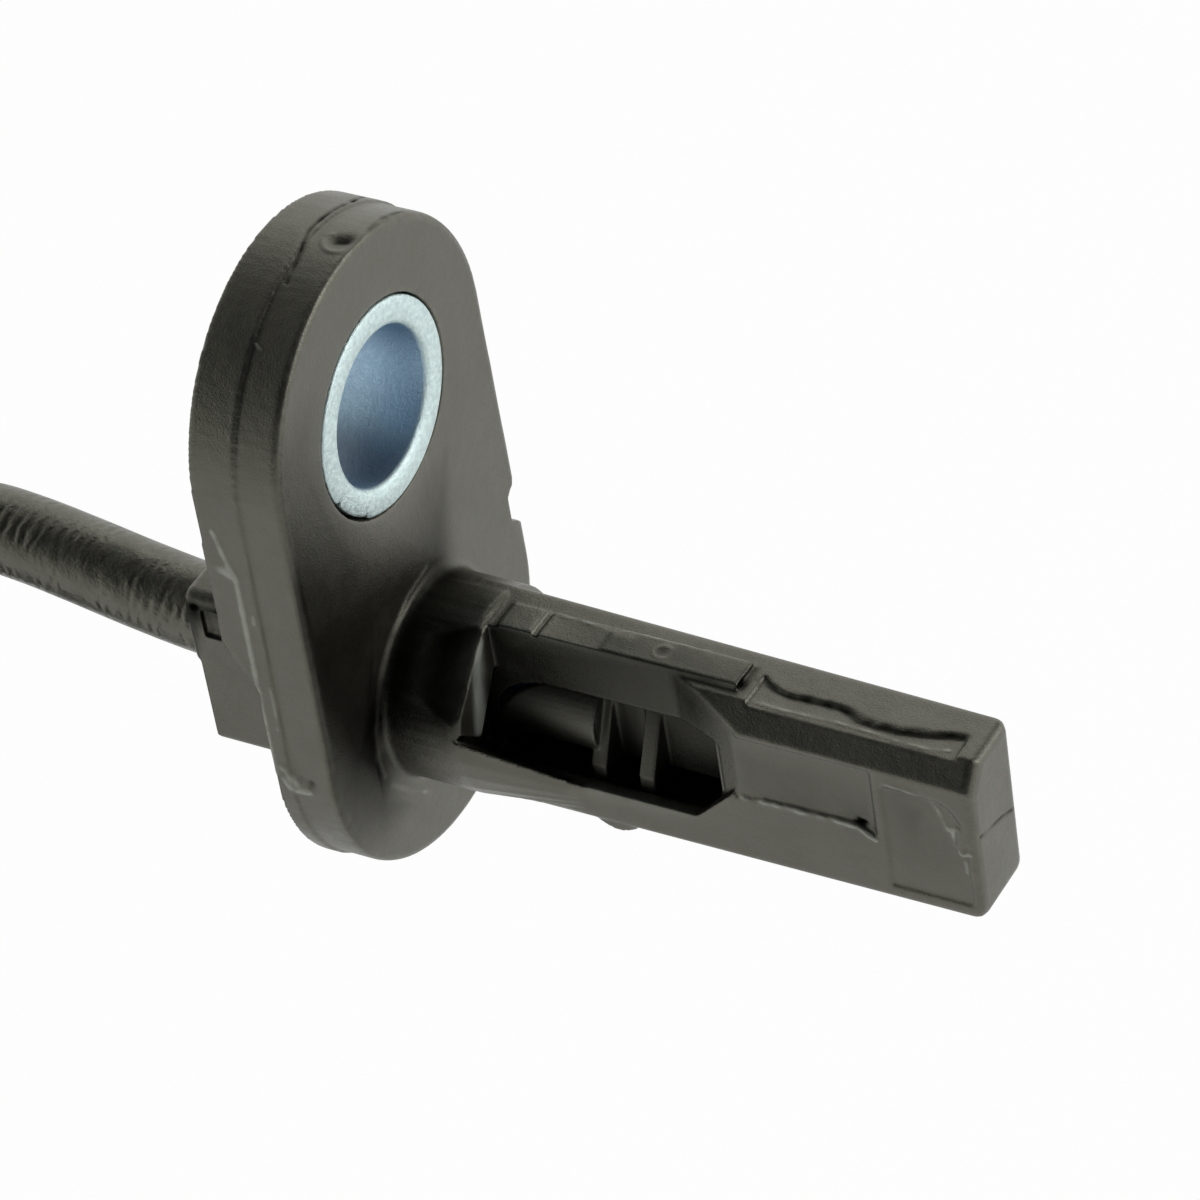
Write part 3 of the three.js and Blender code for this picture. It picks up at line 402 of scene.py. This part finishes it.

# Flash, parting lines, dents and painted light and shade of the housing (mm, nose frame). Height above
# the face; tone from -1, painted shade, to 1, pale flash and painted highlight, clipped there; facing keeps
# it to faces turned that way
housingMarks = [
    # Flash along the step on the near face, pale with painted highlight, with a pit at its end in painted
    # shade
    {"line": [(19.18, -2.4, -0.79), (20.51, -2.46, -0.67), (21.6, -2.49, -0.64), (23.23, -2.48, -0.67),
              (24.47, -2.48, -0.62), (25.75, -2.47, -0.7), (26.73, -2.47, -1.25)],
     "width": 0.15, "height": 0.09, "tone": 0.95},
    {"line": [(25.8, -2.31, -0.36), (26.1, -2.31, -0.44)], "width": 0.16, "height": -0.14, "tone": -1.0},
    # Window corner and the nib near the tip, pale with painted highlight
    {"line": [(27.7, -2.46, 2.75), (28.37, -2.46, 2.67), (29.94, -2.46, 2.45), (30.4, -2.4, 1.79),
              (30.78, -2.36, 0.72)], "width": 0.13, "height": 0.05, "tone": 0.6},
    {"line": [(30.85, -2.32, 0.62), (31.45, -2.31, 0.85)], "width": 0.15, "height": 0.08, "tone": 1.0},
    {"line": [(31.1, -2.31, 0.6), (31.1, -2.31, -0.2), (31.52, -2.4, -0.8), (31.95, -2.38, -0.66)],
     "width": 0.14, "height": 0.08, "tone": 0.95},
    {"line": [(31.62, -2.31, -1.3), (31.66, -2.31, -2.0)], "width": 0.12, "height": 0.04, "tone": 0.5},
    # Parting line across the end face, with painted shade in its groove
    {"line": [(32.4, -1.9, 0.28), (32.4, 0.49, -0.37), (32.36, 1.75, -0.92)],
     "width": 0.1, "height": -0.05, "tone": -0.6},
    # Edges of the rail, its ejector mark and a blob, pale with painted highlight; painted shade in the
    # ejector dent and the notch at the rail's end
    {"line": [(8.0, 0.85, 5.31), (9.77, 0.8, 5.33), (11.3, 0.55, 5.36), (12.0, 0.9, 5.39),
              (13.4, 0.88, 5.39), (15.88, 0.96, 5.39), (18.25, 1.3, 5.2)],
     "width": 0.13, "height": 0.04, "tone": 0.5},
    {"line": [(11.3, 0.35, 5.39), (12.1, 0.5, 5.39)], "width": 0.22, "height": 0.05, "tone": 0.6},
    {"line": arc((14.2, 0.05, 5.39), 0.46, 50, 310), "width": 0.1, "height": 0.05, "tone": 0.6},
    {"line": [(14.1, 0.05, 5.39), (14.25, 0.05, 5.39)], "width": 0.22, "height": -0.05, "tone": -0.25},
    {"line": [(19.05, 0.9, 5.1), (18.95, -0.75, 5.1)], "width": 0.17, "height": -0.12, "tone": -0.9},
    # Edges of the overmould on the top of the tip: painted highlight in front, painted shade behind
    {"line": [(19.83, -1.1, 4.71), (21.59, -1.15, 4.69), (24.31, -1.0, 4.65), (25.95, -1.04, 4.62),
              (27.76, -1.14, 4.6), (29.52, -1.16, 4.57), (30.58, -0.9, 4.56)],
     "width": 0.13, "height": 0.04, "tone": 0.45},
    {"line": [(19.44, 0.2, 4.9), (21.44, -0.14, 4.75), (24.2, -0.06, 4.72), (26.14, -0.6, 4.78),
              (27.79, -0.6, 4.78), (30.9, 0.13, 4.77)],
     "width": 0.2, "height": -0.07, "tone": -0.75},
    # Back edge of the flange and short marks beside it, pale flash with painted highlight
    {"line": [(-4.28, -10.08, 15.99), (-3.83, -10.11, 14.34), (-3.41, -10.14, 13.12), (-3.4, -10.2, 10.64),
              (-3.4, -10.25, 7.37), (-3.4, -10.3, 4.5), (-3.4, -10.38, 0.6)],
     "width": 0.17, "height": 0.05, "tone": 1.0, "broken": 0.4},
    {"line": [(-2.64, -10.27, 6.42), (-2.59, -10.29, 5.38), (-2.67, -10.33, 3.64)],
     "width": 0.12, "height": 0.04, "tone": 0.45},
    {"line": [(-2.81, -10.18, 10.98), (-2.84, -10.19, 10.52)], "width": 0.13, "height": 0.03, "tone": 0.6},
    {"line": [(-4.61, -10.13, 13.61), (-4.03, -10.13, 13.59), (-3.55, -10.13, 13.34)],
     "width": 0.3, "height": 0.05, "tone": 0.6},
    # Gate vestige low on the rim, pale with painted highlight, and a dent with painted shade
    {"line": [(-2.84, -10.38, 1.05), (-2.5, -10.37, 0.67), (-2.26, -10.26, 0.1)],
     "width": 0.26, "height": 0.12, "tone": 0.7},
    {"line": [(-2.9, -10.36, 0.3), (-2.6, -10.3, -0.2)], "width": 0.2, "height": 0.12, "tone": 0.9},
    {"line": [(-2.3, -10.25, -0.45), (-1.6, -10.25, -0.3)], "width": 0.2, "height": 0.1, "tone": 0.9},
    {"line": [(-1.89, -10.25, 0.49), (-1.38, -10.26, 0.3)], "width": 0.24, "height": -0.14, "tone": -0.95},
    # Painted highlight along the fillet at the foot of the collar, and a pale line below it on the same arc
    {"line": [(0.0, 0.94, 6.1), (0.02, -1.03, 5.86), (0.05, -3.25, 4.83), (0.03, -4.97, 3.13),
              (0.02, -5.89, 0.76), (0.0, -6.02, -1.13), (0.0, -5.89, -2.41)],
     "width": 0.16, "height": 0.04, "tone": 0.35, "ripple": 0.5},
    {"line": [(0.0, -5.47, -3.39), (0.0, -4.05, -4.94), (0.0, -2.4, -6.49)],
     "width": 0.14, "height": 0.03, "tone": 0.4},
    # Groove of the cable block, dimple and parting lines of the rim, with painted shade in them and a painted
    # highlight round the dimple
    {"line": [(-12.7, -3.3, 3.5), (-3.8, -3.3, 3.5)], "width": 0.3, "height": -0.06, "tone": -0.3},
    {"line": [(-1.0, 0.4, 27.3), (-0.7, 0.5, 27.3)],
     "width": 0.42, "height": -0.22, "tone": -1.2, "broken": 0.1},
    {"line": arc((-0.9, 0.3, 27.3), 0.85, 150, 300), "width": 0.14, "height": 0.05, "tone": 0.3},
    {"line": [(-3.2, 6.02, 25.44), (-2.7, 4.21, 26.52), (-2.73, 3.01, 26.98), (-2.76, 1.79, 27.29),
              (-2.75, 0.45, 27.44), (-2.5, -0.57, 27.37), (-2.25, -1.73, 27.15), (-2.06, -3.02, 26.84)],
     "width": 0.12, "height": -0.06, "tone": -0.8},
    {"line": [(-0.19, 1.95, 27.05), (-0.28, 2.75, 26.89), (-0.33, 3.47, 26.67), (-0.34, 5.21, 25.82)],
     "width": 0.12, "height": -0.05, "tone": -0.7},
    # Painted shade: beside and on the collar, in the pocket, beside and under the bush, on the cable block,
    # the rail, the near face and the window
    {"line": [(0.0, -8.4, 11.6), (0.0, -8.2, 7.5), (0.0, -8.2, 3.5), (0.0, -8.0, 0.5), (0.0, -7.0, -1.6)],
     "width": 2.9, "tone": -1.2, "broken": 0.1, "facing": (1, 0, 0)},
    {"line": [(0.0, 1.5, 7.2), (0.0, -3.6, 7.9), (0.0, -6.0, 9.6)],
     "width": 1.8, "tone": -0.6, "broken": 0.12, "facing": (1, 0, 0)},
    {"line": [(0.9, 1.8, 5.2), (0.9, -3.0, 4.6), (0.9, -5.3, 1.5), (2.0, -5.4, 0.9), (3.4, -5.2, 1.8),
              (3.0, -3.4, 4.3), (3.0, 0.2, 5.5)],
     "width": 1.45, "tone": -1.1, "broken": 0.1},
    {"line": [(4.8, -0.9, 3.9), (7.0, -0.9, 3.5), (11.4, -0.9, 3.3), (15.0, -0.95, 3.4), (16.6, -1.0, 3.5)],
     "width": 1.9, "tone": -1.0, "broken": 0.12, "facing": (0, -1, 0)},
    {"line": [(4.8, -0.9, 3.6), (8.0, -0.9, 3.2)],
     "width": 1.5, "tone": -0.35, "broken": 0.1, "facing": (0, -1, 0)},
    {"line": [(-12.9, -3.3, 2.95), (-3.8, -3.3, 2.95)], "width": 0.95, "tone": -1.0, "broken": 0.3},
    {"line": [(9.6, -0.2, 5.39), (18.5, -0.2, 5.39)], "width": 1.0, "tone": -0.55, "broken": 0.35},
    {"line": [(20.0, -2.4, 0.7), (26.0, -2.4, 0.7)], "width": 1.3, "tone": -0.3, "broken": 0.3},
    {"line": [(28.6, -2.4, 1.4), (29.6, -2.4, -1.4)], "width": 1.2, "tone": -0.3, "broken": 0.2},
    {"line": [(0.0, -8.0, 14.0), (0.0, -8.0, 19.5)],
     "width": 2.0, "tone": -0.5, "broken": 0.1, "facing": (1, 0, 0)},
    # Painted highlight on the strip of the collar's mouth
    {"line": [(4.6, -2.1, 4.5), (4.6, -2.5, 3.3), (4.6, -3.0, 1.8), (4.5, -3.1, 0.2)],
     "width": 0.7, "tone": 1.2, "broken": 0.3},
    # Painted highlight on the lower lip of the pocket
    {"line": [(9.5, -2.5, -3.2), (12.5, -2.5, -3.0), (15.6, -2.5, -2.9)],
     "width": 0.9, "tone": 0.36, "broken": 0.3},
    # Scratches
    {"line": [(-2.33, -6.06, 25.24), (-1.91, -6.23, 25.1)], "width": 0.08, "height": 0.02, "tone": 0.35},
    {"line": [(-2.83, -8.96, 21.95), (-2.73, -9.17, 21.51)], "width": 0.08, "height": 0.02, "tone": 0.4},
]


def applied(piece):
    # Mesh of the piece with its modifiers applied
    graph = bpy.context.evaluated_depsgraph_get()
    return bpy.data.meshes.new_from_object(piece.evaluated_get(graph))


def vertexRows(mesh, name):
    # One row of three numbers for each point
    rows = np.empty(len(mesh.vertices) * 3)
    mesh.vertices.foreach_get(name, rows)
    return rows.reshape(-1, 3)


def keepValues(mesh, name, values):
    mesh.attributes.new(name, "FLOAT", "POINT").data.foreach_set("value", values)


# Soft moulded edges: a fine remesh of the solid, smoothed, then thinned out where it is flat.
# Works in millimetres and keeps how sharp each edge was as an attribute
def softened(nodeName, form, marks):
    mesh = nodes[nodeName].data.copy()
    mesh.transform(Matrix.Scale(1 / millimetre, 4))
    work = addObject(nodeName + "_work", mesh)
    remesh = work.modifiers.new("remesh", "REMESH")
    remesh.mode = "VOXEL"
    remesh.voxel_size = form["voxel"]
    smooth = work.modifiers.new("smooth", "SMOOTH")
    smooth.factor = 0.5
    smooth.iterations = form["smoothing"]
    fine = applied(work)
    work.modifiers.clear()
    work.data = fine
    markEdges(fine)
    cutMarks(fine, marks)
    count = sum(len(p.vertices) - 2 for p in fine.polygons)
    thin = work.modifiers.new("thin", "DECIMATE")
    thin.ratio = min(1.0, form["triangles"] / count)
    final = applied(work)
    final.transform(Matrix.Scale(millimetre, 4))
    bpy.data.objects.remove(work)
    print("softened", nodeName, count, "to", len(final.polygons))
    return final


# Edge wear and painted edge highlight: rounds of spreading, and the bend that counts as a full edge
wearAndHighlight = {"rounds": 6, "fullBend": 1.2}


def markEdges(mesh):
    # How far each point stands out from its neighbours, spread a little
    count = len(mesh.vertices)
    points = vertexRows(mesh, "co")
    normals = vertexRows(mesh, "normal")
    ends = np.empty(len(mesh.edges) * 2, dtype=np.int64)
    mesh.edges.foreach_get("vertices", ends)
    a, b = ends.reshape(-1, 2).T
    degree = np.bincount(a, minlength=count) + np.bincount(b, minlength=count)
    degree = np.maximum(degree, 1)
    apart = normals[a] - normals[b]
    step = points[a] - points[b]
    length = np.linalg.norm(step, axis=1) + 1e-9
    bend = np.einsum("ij,ij->i", apart, step) / length ** 2
    value = (np.bincount(a, bend, count) + np.bincount(b, bend, count)) / degree
    for _ in range(wearAndHighlight["rounds"]):
        around = np.bincount(a, value[b], count) + np.bincount(b, value[a], count)
        value = (value + around / degree) / 2
    keepValues(mesh, "edge", np.clip(value / wearAndHighlight["fullBend"], 0, 1).astype(np.float32))


def alongLine(points, line):
    # Distance of each point to the line, and how far along the line it is
    gap = np.full(len(points), np.inf)
    travel = np.zeros(len(points))
    travelled = 0.0
    for a, b in zip(line, line[1:]):
        a, step = np.array(a), np.array(b) - np.array(a)
        length = np.linalg.norm(step)
        t = np.clip((points - a) @ step / length ** 2, 0, 1)
        here = np.linalg.norm(points - a - t[:, None] * step, axis=1)
        nearer = here < gap
        gap[nearer] = here[nearer]
        travel[nearer] = travelled + t[nearer] * length
        travelled += length
    return gap, travel


def cutMarks(mesh, marks):
    # Ridges of flash and shallow grooves along listed lines, with the tone each paints: pale for flash and
    # painted highlight, dark for painted shade
    points = vertexRows(mesh, "co")
    normals = vertexRows(mesh, "normal")
    lift = np.zeros(len(points))
    tones = np.zeros(len(points))
    for k, given in enumerate(marks):
        markAndPaintedLight = {**plainMark, **given}
        line = [(x, y, z + noseAxisZ) for x, y, z in markAndPaintedLight["line"]]
        reach = 3 * markAndPaintedLight["width"]
        low = np.min(line, axis=0) - reach
        high = np.max(line, axis=0) + reach
        near = np.all((points > low) & (points < high), axis=1)
        gap, travel = alongLine(points[near], line)
        uneven = np.array([noise.noise((t * markAndPaintedLight["ripple"], k * 7.3, 0.5)) for t in travel])
        level = np.exp(-(gap / markAndPaintedLight["width"]) ** 2)
        level *= np.clip(0.8 + uneven * markAndPaintedLight["broken"], 0.1, 1.5)
        if "facing" in markAndPaintedLight:
            level *= np.clip(normals[near] @ np.array(markAndPaintedLight["facing"]) * 2 - 0.5, 0, 1)
        lift[near] += level * markAndPaintedLight["height"]
        tones[near] += level * markAndPaintedLight["tone"]
    moved = points + normals * lift[:, None]
    mesh.vertices.foreach_set("co", moved.ravel())
    mesh.update()
    keepValues(mesh, "markAndPaintedLight", np.clip(tones, -1, 1).astype(np.float32))


# Size of the fine remesh (mm), passes of smoothing, and triangles kept
housingForm = {"voxel": 0.1, "smoothing": 5, "triangles": 180000}
housingMesh = softened("sensor_housing", housingForm, housingMarks)
housing = ridingPiece("housing", housingMesh, nylonMaterial)
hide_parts("sensor_housing")
print("stage: housing")

# Painted shade behind and between the carrier's ribs and low on its barrel; painted highlight on the top of
# the barrel and a rib front (mm, nose frame)
carrierForm = {"voxel": 0.08, "smoothing": 4, "triangles": 40000}
carrierMarks = [
    {"line": [(14.2, 0.2, 1.8), (15.6, 0.2, 0.0), (16.6, 0.2, -2.0)],
     "width": 2.1, "tone": -1.0, "broken": 0.1, "facing": (0, -1, 0)},
    {"line": [(11.4, 0.2, 1.0), (11.4, 0.2, -2.5)],
     "width": 0.8, "tone": -0.9, "broken": 0.1, "facing": (0, -1, 0)},
    {"line": [(5.0, -1.1, 1.0), (9.4, -1.1, 1.0)], "width": 0.5, "tone": 0.25, "broken": 0.2},
    {"line": [(10.2, -0.95, 1.4), (10.2, -0.95, -3.2)], "width": 0.35, "tone": 0.3, "broken": 0.3},
    {"line": [(5.0, -0.6, -2.0), (9.6, -0.6, -2.0)], "width": 1.3, "tone": -0.7, "broken": 0.1},
]
carrierMesh = softened("sensor_carrier", carrierForm, carrierMarks)
carrier = ridingPiece("carrier", carrierMesh, carrierMaterial)
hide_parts("sensor_carrier")


# Bush: ring with rounded edges and a shallow flat between two nicks (mm in the nose frame,
# radii from the bolt axis; the flat's and nicks' places in degrees)
bush = {
    "axisZ": 17.4,
    "front": 0.05,
    "back": -5.15,
    "bore": 4.2,
    "boreSkin": 0.1,
    "outer": 5.75,
    "chamfer": 0.32,
    "rim": 0.14,
    "segments": 240,
    "flatFrom": 205.0,
    "flatTo": 236.0,
    "flatEase": 3.0,
    "flatDepth": 0.1,
    "nickDepth": 0.3,
    "nickWidth": 1.6,
}


def bushOuter(angle):
    # Outer radius round the ring
    lean = math.degrees(angle) % 360
    ends = (bush["flatFrom"], bush["flatTo"])
    rise = min(max((lean - bush["flatFrom"]) / bush["flatEase"], 0), 1)
    fall = min(max((bush["flatTo"] - lean) / bush["flatEase"], 0), 1)
    flat = rise * fall
    nicks = sum(math.exp(-((lean - at) / bush["nickWidth"]) ** 2) for at in ends)
    return bush["outer"] - bush["flatDepth"] * flat - bush["nickDepth"] * nicks


def bushMesh():
    mesh = bpy.data.meshes.new("bush")
    shape = bmesh.new()
    front, back = bush["front"], bush["back"]
    bore, rim, chamfer = bush["bore"], bush["rim"], bush["chamfer"]
    rings = []
    for i in range(bush["segments"]):
        angle = 2 * math.pi * i / bush["segments"]
        outer = bushOuter(angle)
        profile = [
            (front - rim, outer), (front - rim * 0.3, outer - rim * 0.3), (front, outer - rim),
            (front, (outer + bore) / 2), (front, bore + chamfer),
            (front - chamfer * 0.4, bore + chamfer * 0.35), (front - chamfer, bore),
            (back / 2, bore), (back + chamfer, bore), (back, bore + chamfer),
            (back, outer - rim), (back + rim, outer), (back / 2, outer),
        ]
        rings.append([
            shape.verts.new(place(x, r * math.cos(angle), bush["axisZ"] + r * math.sin(angle)))
            for x, r in profile
        ])
    for i, ring in enumerate(rings):
        after = rings[(i + 1) % len(rings)]
        for k in range(len(ring)):
            m = (k + 1) % len(ring)
            shape.faces.new((ring[k], ring[m], after[m], after[k]))
    bmesh.ops.recalc_face_normals(shape, faces=shape.faces)
    shape.to_mesh(mesh)
    shape.free()
    axis = place(0, 0, bush["axisZ"])
    radii = [math.hypot(v.co.y, v.co.z - axis.z) / millimetre for v in mesh.vertices]
    keepValues(mesh, "inside", [float(radius < bore + bush["boreSkin"]) for radius in radii])
    return mesh


bushPiece = ridingPiece("bush", bushMesh(), zincMaterial)
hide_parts("bolt_bush")
print("stage: bush")


# Cable: a lead along given points, four turns side by side, and a straight tail (mm, nose frame; the
# length is in metres). Steps are fine where X and Z are above the two fine limits
cable = {
    "diameter": 4.8,
    "exit": (-12.8, 0.0, 0.0),
    "length": 0.785,
    "sides": 40,
    "leadSteps": 40,
    "coilRadius": 26.0,
    "coilTurns": 4,
    "coilSteps": 120,
    "coilPitch": -5.0,
    "coilTop": (-48.0, 1.0, -48.0),
    "tailSteps": 40,
    "tailEnd": -104.1,
    "fineAboveX": -32.0,
    "fineAboveZ": -20.0,
    "fineStep": 0.35,
    "coarseStep": 1.6,
}
leadRoute = [
    (-7.5, 0.0, 0.0),
    (-10.5, 0.0, 0.02),
    (-14.0, 0.05, 0.12),
    (-18.0, 0.3, 0.42),
    (-22.0, 0.62, 0.8),
    (-25.5, 0.85, 1.1),
    (-28.5, 0.95, 1.15),
    (-35.2, 1.0, -0.05),
    (-41.0, 1.0, -3.4),
    (-45.4, 1.0, -8.6),
    (-47.35, 1.0, -13.3),
    (-48.0, 1.0, -18.4),
    (-48.0, 1.0, -31.9),
]


def smoothLine(points, perSpan):
    # Centripetal curve through the points
    points = [Vector(p) for p in points]
    padded = [points[0] * 2 - points[1], *points, points[-1] * 2 - points[-2]]
    line = []
    for p0, p1, p2, p3 in zip(padded, padded[1:], padded[2:], padded[3:]):
        t1 = math.sqrt((p1 - p0).length)
        t2 = t1 + math.sqrt((p2 - p1).length)
        t3 = t2 + math.sqrt((p3 - p2).length)
        for i in range(perSpan):
            t = t1 + (t2 - t1) * i / perSpan
            a1 = p0 * ((t1 - t) / t1) + p1 * (t / t1)
            a2 = p1 * ((t2 - t) / (t2 - t1)) + p2 * ((t - t1) / (t2 - t1))
            a3 = p2 * ((t3 - t) / (t3 - t2)) + p3 * ((t - t2) / (t3 - t2))
            b1 = a1 * ((t2 - t) / t2) + a2 * (t / t2)
            b2 = a2 * ((t3 - t) / (t3 - t1)) + a3 * ((t - t1) / (t3 - t1))
            line.append(b1 * ((t2 - t) / (t2 - t1)) + b2 * ((t - t1) / (t2 - t1)))
    line.append(points[-1])
    return line


def coilLine():
    top = Vector(cable["coilTop"])
    radius = cable["coilRadius"]
    line = []
    for i in range(cable["coilTurns"] * cable["coilSteps"] + 1):
        turn = i / cable["coilSteps"]
        angle = 2 * math.pi * turn
        back = radius * (math.cos(angle) - 1)
        line.append(top + Vector((back, cable["coilPitch"] * turn, -radius * math.sin(angle))))
    return line


def evenLine(line):
    # The same line with short steps where it is seen and longer ones beyond
    steps = [line[0]]
    travelled = 0.0
    for a, b in zip(line, line[1:]):
        seen = b.x > cable["fineAboveX"] and b.z > cable["fineAboveZ"]
        travelled += (b - a).length
        if travelled >= cable["fineStep" if seen else "coarseStep"]:
            steps.append(b)
            travelled = 0.0
    steps.append(line[-1])
    return steps


def cableLine():
    lead = smoothLine(leadRoute, cable["leadSteps"])
    coil = coilLine()
    last = coil[-1]
    heights = np.linspace(last.z - 1, cable["tailEnd"], cable["tailSteps"])
    tail = [Vector((last.x, last.y, z)) for z in heights]
    return evenLine(lead + coil + tail)


def tubeMesh(name, line, radius, sides):
    # Tube with parallel sections, its length and turn kept as attributes
    mesh = bpy.data.meshes.new(name)
    points = []
    along = []
    around = []
    side = Vector((0, 1, 0))
    travelled = 0.0
    for i, centre in enumerate(line):
        before = line[max(i - 1, 0)]
        after = line[min(i + 1, len(line) - 1)]
        heading = (after - before).normalized()
        side = (side - heading * side.dot(heading)).normalized()
        across = heading.cross(side)
        travelled += (centre - before).length
        for k in range(sides):
            angle = 2 * math.pi * k / sides
            spot = centre + side * radius * math.cos(angle) + across * radius * math.sin(angle)
            points.append(place(*spot))
            along.append(travelled)
            around.append(angle)
    faces = []
    for i in range(len(line) - 1):
        for k in range(sides):
            m = (k + 1) % sides
            faces.append((i * sides + k, i * sides + m, (i + 1) * sides + m, (i + 1) * sides + k))
    faces.append(tuple(range(sides))[::-1])
    faces.append(tuple((len(line) - 1) * sides + k for k in range(sides)))
    mesh.from_pydata(points, [], faces)
    keepValues(mesh, "along", along)
    keepValues(mesh, "around", around)
    return mesh


line = cableLine()
cableMesh = tubeMesh("cable", line, cable["diameter"] / 2, cable["sides"])
cablePiece = ridingPiece("cable", cableMesh, jacketMaterial)
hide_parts("cable_lead", "cable_coil", "cable_tail")
tuple(place(*cable["exit"]))
[tuple(place(*p)) for p in line]
print("stage: cable", sum((b - a).length for a, b in zip(line, line[1:])))


# Studio in metres: a floor whose white share camera, glossy and transmission rays see, a sky
# that falls off upwards and towards the camera, and large soft lights
studio = {
    "floorGap": 0.0006,
    "floorSize": 6.0,
    "floorShare": 0.975,
    "floorColour": (0.86, 0.86, 0.85, 1.0),
    "floorGlow": (1.0, 1.0, 1.0, 1.0),
    "skyBright": (1.0, 1.0, 0.97),
    "horizon": 1.2,
    "zenith": 0.22,
    "zenithFrom": 0.9,
    "skyDark": (0.02, 0.023, 0.03),
    "darkTowards": (0.438, -0.637, 0.634),
    "darkFrom": 0.08,
    "darkFull": 0.75,
    "lights": [
        {"name": "key", "place": (0.75, 0.25, 0.30), "size": 0.6, "power": 3.0},
        {"name": "top", "place": (-0.15, 0.55, 0.60), "size": 0.6, "power": 1.0},
    ],
}


def makeFloor():
    mesh = bpy.data.meshes.new("floor")
    half = studio["floorSize"] / 2
    low = cadLow.z - studio["floorGap"]
    corners = [(-half, -half, low), (half, -half, low), (half, half, low), (-half, half, low)]
    mesh.from_pydata(corners, [], [(0, 1, 2, 3)])
    material = bpy.data.materials.new("floor")
    material.use_nodes = True
    tree = material.node_tree
    start = Wire(tree)
    diffuse = start.node("ShaderNodeBsdfDiffuse", None, {"Color": studio["floorColour"]})
    rays = start.node("ShaderNodeLightPath").socket.node.outputs
    glow = start.node("ShaderNodeEmission", None, {"Color": studio["floorGlow"], "Strength": 1.0})
    shown = Wire(tree, rays["Is Camera Ray"])
    for name in ("Is Glossy Ray", "Is Transmission Ray"):
        shown = shown.maths("MAXIMUM", shown, Wire(tree, rays[name]))
    result = start.node("ShaderNodeMixShader", None, {0: shown * studio["floorShare"], 1: diffuse, 2: glow})
    tree.links.new(result.socket, tree.nodes["Material Output"].inputs["Surface"])
    tree.nodes.remove(tree.nodes["Principled BSDF"])
    floor = addObject("floor", mesh)
    mesh.materials.append(material)


def makeSky():
    sky = bpy.data.worlds.new("sky")
    scene.world = sky
    sky.use_nodes = True
    tree = sky.node_tree
    start = Wire(tree)
    heading = start.node("ShaderNodeTexCoord", None, None, 0)
    towards = Vector(studio["darkTowards"]).normalized()
    lean = heading.node("ShaderNodeVectorMath", {"operation": "DOT_PRODUCT"},
                        {0: heading, 1: tuple(towards)}, 1)
    shade = lean.ramp(studio["darkFrom"], studio["darkFull"])
    level = heading.part("Z").ramp(0.0, studio["zenithFrom"], studio["horizon"], studio["zenith"])
    tone = (colour(start, studio["skyBright"]) * level).mixed(colour(start, studio["skyDark"]), shade)
    tree.links.new(tone.socket, tree.nodes["Background"].inputs["Color"])


def makeLights():
    for item in studio["lights"]:
        data = bpy.data.lights.new(item["name"], "AREA")
        data.shape = "DISK"
        data.size = item["size"]
        data.energy = item["power"]
        light = addObject(item["name"], data)
        light.location = item["place"]
        light.rotation_euler = Vector(item["place"]).to_track_quat("Z", "Y").to_euler()


makeFloor()
makeSky()
makeLights()
scene.view_settings.view_transform = "Standard"
print("stage: studio")
